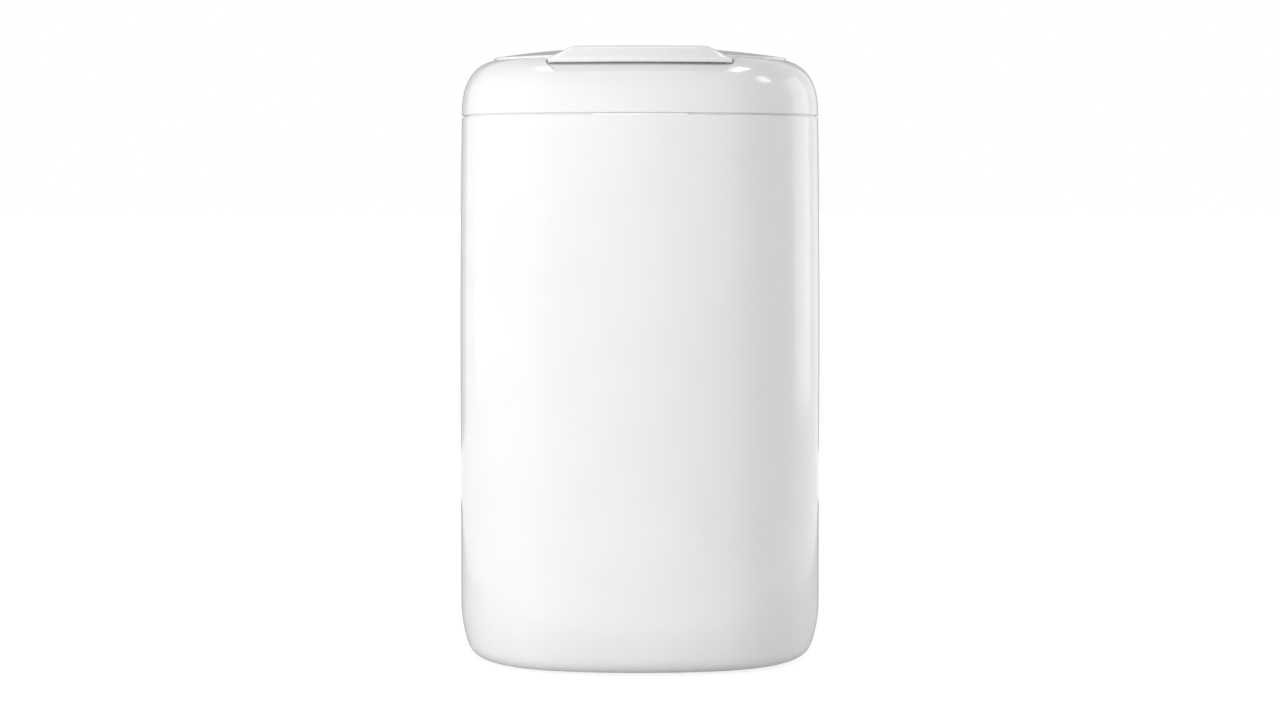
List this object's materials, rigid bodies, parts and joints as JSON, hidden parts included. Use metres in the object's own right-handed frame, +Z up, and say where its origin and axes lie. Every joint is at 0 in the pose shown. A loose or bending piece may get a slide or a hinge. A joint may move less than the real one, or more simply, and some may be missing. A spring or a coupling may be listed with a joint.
{
  "type": "waste bin",
  "caption": "Small upright washroom waste bin, a deep oval-cornered container with a lift-off rounded lid frame and a rear-hinged domed flap with a front grip",
  "frame": {"origin": "middle of the footprint, on the floor under the feet", "axes": "+X to the right seen from the front, +Y to the back (wall side), +Z up; the front faces -Y"},
  "size_m": [0.19, 0.16, 0.322],
  "materials": {
    "white_shell": "white moulded plastic with a high gloss",
    "white_inner": "white moulded plastic, fine satin",
    "foot_rubber": "dark grey rubber, matte",
    "bumper_rubber": "light grey soft rubber, matte",
    "rod_steel": "drawn steel wire"
  },
  "bodies": {
    "container_body": {"container": "white_shell", "foot_front_left": "foot_rubber", "foot_front_right": "foot_rubber", "foot_rear_left": "foot_rubber", "foot_rear_right": "foot_rubber"},
    "bag_ring_body": {"bag_ring": "white_inner"},
    "lid_frame_body": {"lid_frame": "white_shell", "flap_bumper_left": "bumper_rubber", "flap_bumper_right": "bumper_rubber"},
    "flap_body": {"flap_shell": "white_shell", "flap_cover": "white_inner", "hinge_rod": "rod_steel"}
  },
  "joints": [
    {"name": "lid_lift", "type": "slide", "parent": "container_body", "child": "lid_frame_body", "axis": [0, 0, 1], "range_m": [0, 0.06]},
    {"name": "bag_ring_lift", "type": "slide", "parent": "container_body", "child": "bag_ring_body", "axis": [0, 0, 1], "range_m": [0, 0.03]},
    {"name": "flap_hinge", "type": "hinge", "parent": "lid_frame_body", "child": "flap_body", "pos_m": [0, 0.0585, 0.3139], "axis": [-1, 0, 0], "range_deg": [0, 90]}
  ],
  "couplings": [
    {"joint": "bag_ring_lift", "follows": "lid_lift", "ratio": 0.5}
  ]
}
